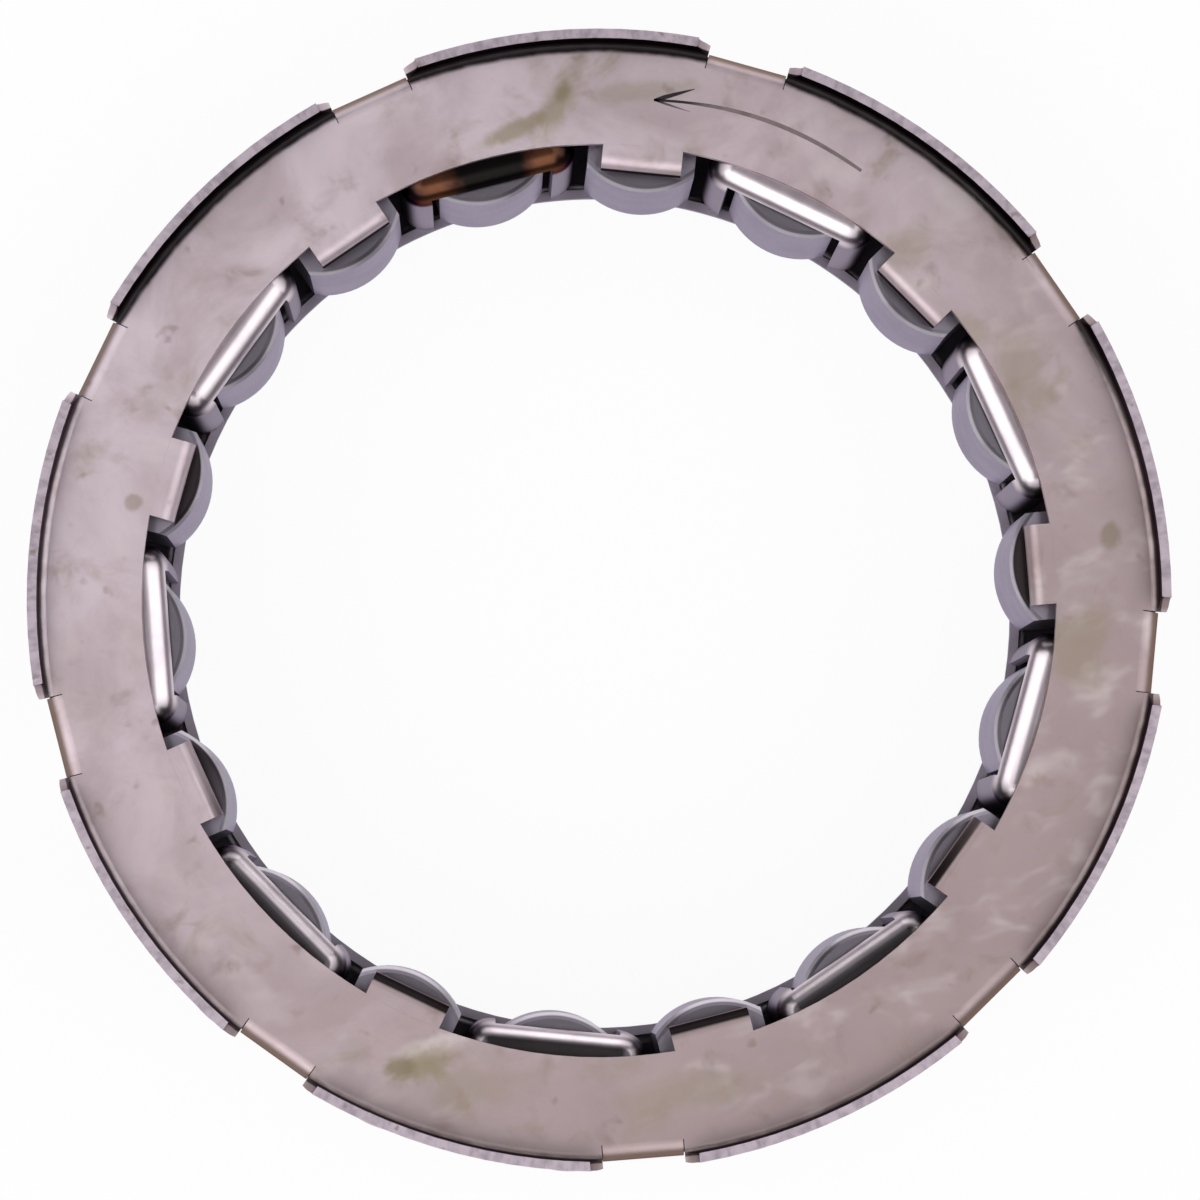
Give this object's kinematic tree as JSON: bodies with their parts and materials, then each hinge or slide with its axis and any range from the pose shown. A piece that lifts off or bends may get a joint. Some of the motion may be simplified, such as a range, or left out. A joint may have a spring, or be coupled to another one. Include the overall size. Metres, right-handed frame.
{
  "type": "sprag one-way clutch bearing",
  "caption": "Flanged one-way clutch bearing: sprags rock in a pressed cage, gripping a shaft in one direction and running free in the other.",
  "frame": {"origin": "on the bearing axis, at the underside of the leg feet", "axes": "+Z along the bearing axis towards the flange, +X to the right and +Y up as the picture shows the flange side"},
  "size_m": [0.0608, 0.061, 0.0151],
  "materials": {
    "flange_steel": "matte tumbled steel with faint oil stains",
    "cage_steel": "bright drawn steel",
    "spring_steel": "satin spring strip",
    "sprag_steel": "ground bearing steel"
  },
  "bodies": {
    "cage": {"flanged_cage": "flange_steel", "inner_cage": "cage_steel", "ribbon_spring": "spring_steel"},
    "sprag_01": {"sprag_01": "sprag_steel"},
    "sprag_02": {"sprag_02": "sprag_steel"},
    "sprag_03": {"sprag_03": "sprag_steel"},
    "sprag_04": {"sprag_04": "sprag_steel"},
    "sprag_05": {"sprag_05": "sprag_steel"},
    "sprag_06": {"sprag_06": "sprag_steel"},
    "sprag_07": {"sprag_07": "sprag_steel"},
    "sprag_08": {"sprag_08": "sprag_steel"},
    "sprag_09": {"sprag_09": "sprag_steel"},
    "sprag_10": {"sprag_10": "sprag_steel"},
    "sprag_11": {"sprag_11": "sprag_steel"},
    "sprag_12": {"sprag_12": "sprag_steel"},
    "sprag_13": {"sprag_13": "sprag_steel"},
    "sprag_14": {"sprag_14": "sprag_steel"},
    "sprag_15": {"sprag_15": "sprag_steel"},
    "sprag_16": {"sprag_16": "sprag_steel"},
    "sprag_17": {"sprag_17": "sprag_steel"},
    "sprag_18": {"sprag_18": "sprag_steel"}
  },
  "joints": [
    {"name": "sprag_01_rock", "type": "hinge", "parent": "cage", "child": "sprag_01", "pos_m": [0.02647, 0.00208, 0.0071], "axis": [0, 0, 1], "range_deg": [-8, 0], "stiffness_Nm_per_rad": 0.03, "springref_deg": 2.86},
    {"name": "sprag_02_rock", "type": "hinge", "parent": "cage", "child": "sprag_02", "pos_m": [0.02416, 0.01101, 0.0071], "axis": [0, 0, 1], "range_deg": [-8, 0], "stiffness_Nm_per_rad": 0.03, "springref_deg": 2.86},
    {"name": "sprag_03_rock", "type": "hinge", "parent": "cage", "child": "sprag_03", "pos_m": [0.01894, 0.01861, 0.0071], "axis": [0, 0, 1], "range_deg": [-8, 0], "stiffness_Nm_per_rad": 0.03, "springref_deg": 2.86},
    {"name": "sprag_04_rock", "type": "hinge", "parent": "cage", "child": "sprag_04", "pos_m": [0.01143, 0.02397, 0.0071], "axis": [0, 0, 1], "range_deg": [-8, 0], "stiffness_Nm_per_rad": 0.03, "springref_deg": 2.86},
    {"name": "sprag_05_rock", "type": "hinge", "parent": "cage", "child": "sprag_05", "pos_m": [0.00255, 0.02643, 0.0071], "axis": [0, 0, 1], "range_deg": [-8, 0], "stiffness_Nm_per_rad": 0.03, "springref_deg": 2.86},
    {"name": "sprag_06_rock", "type": "hinge", "parent": "cage", "child": "sprag_06", "pos_m": [-0.00665, 0.02571, 0.0071], "axis": [0, 0, 1], "range_deg": [-8, 0], "stiffness_Nm_per_rad": 0.03, "springref_deg": 2.86},
    {"name": "sprag_07_rock", "type": "hinge", "parent": "cage", "child": "sprag_07", "pos_m": [-0.01504, 0.02188, 0.0071], "axis": [0, 0, 1], "range_deg": [-8, 0], "stiffness_Nm_per_rad": 0.03, "springref_deg": 2.86},
    {"name": "sprag_08_rock", "type": "hinge", "parent": "cage", "child": "sprag_08", "pos_m": [-0.02162, 0.01542, 0.0071], "axis": [0, 0, 1], "range_deg": [-8, 0], "stiffness_Nm_per_rad": 0.03, "springref_deg": 2.86},
    {"name": "sprag_09_rock", "type": "hinge", "parent": "cage", "child": "sprag_09", "pos_m": [-0.02559, 0.0071, 0.0071], "axis": [0, 0, 1], "range_deg": [-8, 0], "stiffness_Nm_per_rad": 0.03, "springref_deg": 2.86},
    {"name": "sprag_10_rock", "type": "hinge", "parent": "cage", "child": "sprag_10", "pos_m": [-0.02647, -0.00208, 0.0071], "axis": [0, 0, 1], "range_deg": [-8, 0], "stiffness_Nm_per_rad": 0.03, "springref_deg": 2.86},
    {"name": "sprag_11_rock", "type": "hinge", "parent": "cage", "child": "sprag_11", "pos_m": [-0.02416, -0.01101, 0.0071], "axis": [0, 0, 1], "range_deg": [-8, 0], "stiffness_Nm_per_rad": 0.03, "springref_deg": 2.86},
    {"name": "sprag_12_rock", "type": "hinge", "parent": "cage", "child": "sprag_12", "pos_m": [-0.01894, -0.01861, 0.0071], "axis": [0, 0, 1], "range_deg": [-8, 0], "stiffness_Nm_per_rad": 0.03, "springref_deg": 2.86},
    {"name": "sprag_13_rock", "type": "hinge", "parent": "cage", "child": "sprag_13", "pos_m": [-0.01143, -0.02397, 0.0071], "axis": [0, 0, 1], "range_deg": [-8, 0], "stiffness_Nm_per_rad": 0.03, "springref_deg": 2.86},
    {"name": "sprag_14_rock", "type": "hinge", "parent": "cage", "child": "sprag_14", "pos_m": [-0.00255, -0.02643, 0.0071], "axis": [0, 0, 1], "range_deg": [-8, 0], "stiffness_Nm_per_rad": 0.03, "springref_deg": 2.86},
    {"name": "sprag_15_rock", "type": "hinge", "parent": "cage", "child": "sprag_15", "pos_m": [0.00665, -0.02571, 0.0071], "axis": [0, 0, 1], "range_deg": [-8, 0], "stiffness_Nm_per_rad": 0.03, "springref_deg": 2.86},
    {"name": "sprag_16_rock", "type": "hinge", "parent": "cage", "child": "sprag_16", "pos_m": [0.01504, -0.02188, 0.0071], "axis": [0, 0, 1], "range_deg": [-8, 0], "stiffness_Nm_per_rad": 0.03, "springref_deg": 2.86},
    {"name": "sprag_17_rock", "type": "hinge", "parent": "cage", "child": "sprag_17", "pos_m": [0.02162, -0.01542, 0.0071], "axis": [0, 0, 1], "range_deg": [-8, 0], "stiffness_Nm_per_rad": 0.03, "springref_deg": 2.86},
    {"name": "sprag_18_rock", "type": "hinge", "parent": "cage", "child": "sprag_18", "pos_m": [0.02559, -0.0071, 0.0071], "axis": [0, 0, 1], "range_deg": [-8, 0], "stiffness_Nm_per_rad": 0.03, "springref_deg": 2.86}
  ],
  "couplings": [
    {"joint": "sprag_02_rock", "follows": "sprag_01_rock", "ratio": 1},
    {"joint": "sprag_03_rock", "follows": "sprag_01_rock", "ratio": 1},
    {"joint": "sprag_04_rock", "follows": "sprag_01_rock", "ratio": 1},
    {"joint": "sprag_05_rock", "follows": "sprag_01_rock", "ratio": 1},
    {"joint": "sprag_06_rock", "follows": "sprag_01_rock", "ratio": 1},
    {"joint": "sprag_07_rock", "follows": "sprag_01_rock", "ratio": 1},
    {"joint": "sprag_08_rock", "follows": "sprag_01_rock", "ratio": 1},
    {"joint": "sprag_09_rock", "follows": "sprag_01_rock", "ratio": 1},
    {"joint": "sprag_10_rock", "follows": "sprag_01_rock", "ratio": 1},
    {"joint": "sprag_11_rock", "follows": "sprag_01_rock", "ratio": 1},
    {"joint": "sprag_12_rock", "follows": "sprag_01_rock", "ratio": 1},
    {"joint": "sprag_13_rock", "follows": "sprag_01_rock", "ratio": 1},
    {"joint": "sprag_14_rock", "follows": "sprag_01_rock", "ratio": 1},
    {"joint": "sprag_15_rock", "follows": "sprag_01_rock", "ratio": 1},
    {"joint": "sprag_16_rock", "follows": "sprag_01_rock", "ratio": 1},
    {"joint": "sprag_17_rock", "follows": "sprag_01_rock", "ratio": 1},
    {"joint": "sprag_18_rock", "follows": "sprag_01_rock", "ratio": 1}
  ]
}
